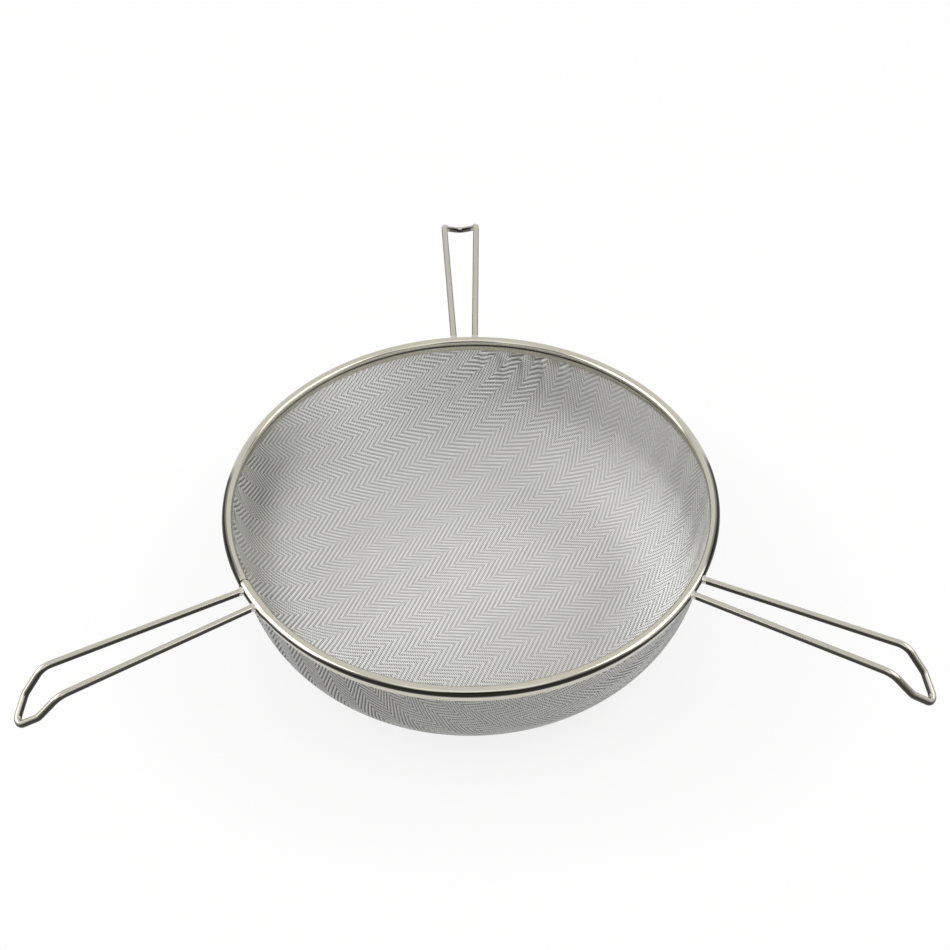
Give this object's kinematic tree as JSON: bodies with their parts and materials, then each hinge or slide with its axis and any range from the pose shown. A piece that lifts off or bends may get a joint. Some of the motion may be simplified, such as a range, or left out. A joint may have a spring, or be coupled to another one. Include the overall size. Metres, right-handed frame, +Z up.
{
  "type": "honey strainer",
  "caption": "Round woven-wire strainer basket with a rolled rim and hooked wire handles that rest on the edge of a bucket.",
  "frame": {"origin": "centre of the basket's flat underside, on which the strainer stands", "axes": "+Z up along the basket's axis, +Y towards the back handle, +X to the right; the other two handles point down left and down right in plan"},
  "size_m": [0.3967, 0.3604, 0.078],
  "materials": {
    "cloth_wire": "drawn stainless wire, woven in herringbone twill, bright",
    "rim_strip": "rolled stainless strip, polished",
    "hoop_wire": "plain drawn stainless wire, hidden inside the rim",
    "handle_wire": "drawn and bent stainless wire, satin bright"
  },
  "bodies": {
    "root": {"mesh_basket": "cloth_wire", "rim_band": "rim_strip", "rim_hoop": "hoop_wire", "handle_back": "handle_wire", "handle_left": "handle_wire", "handle_right": "handle_wire"}
  },
  "joints": []
}
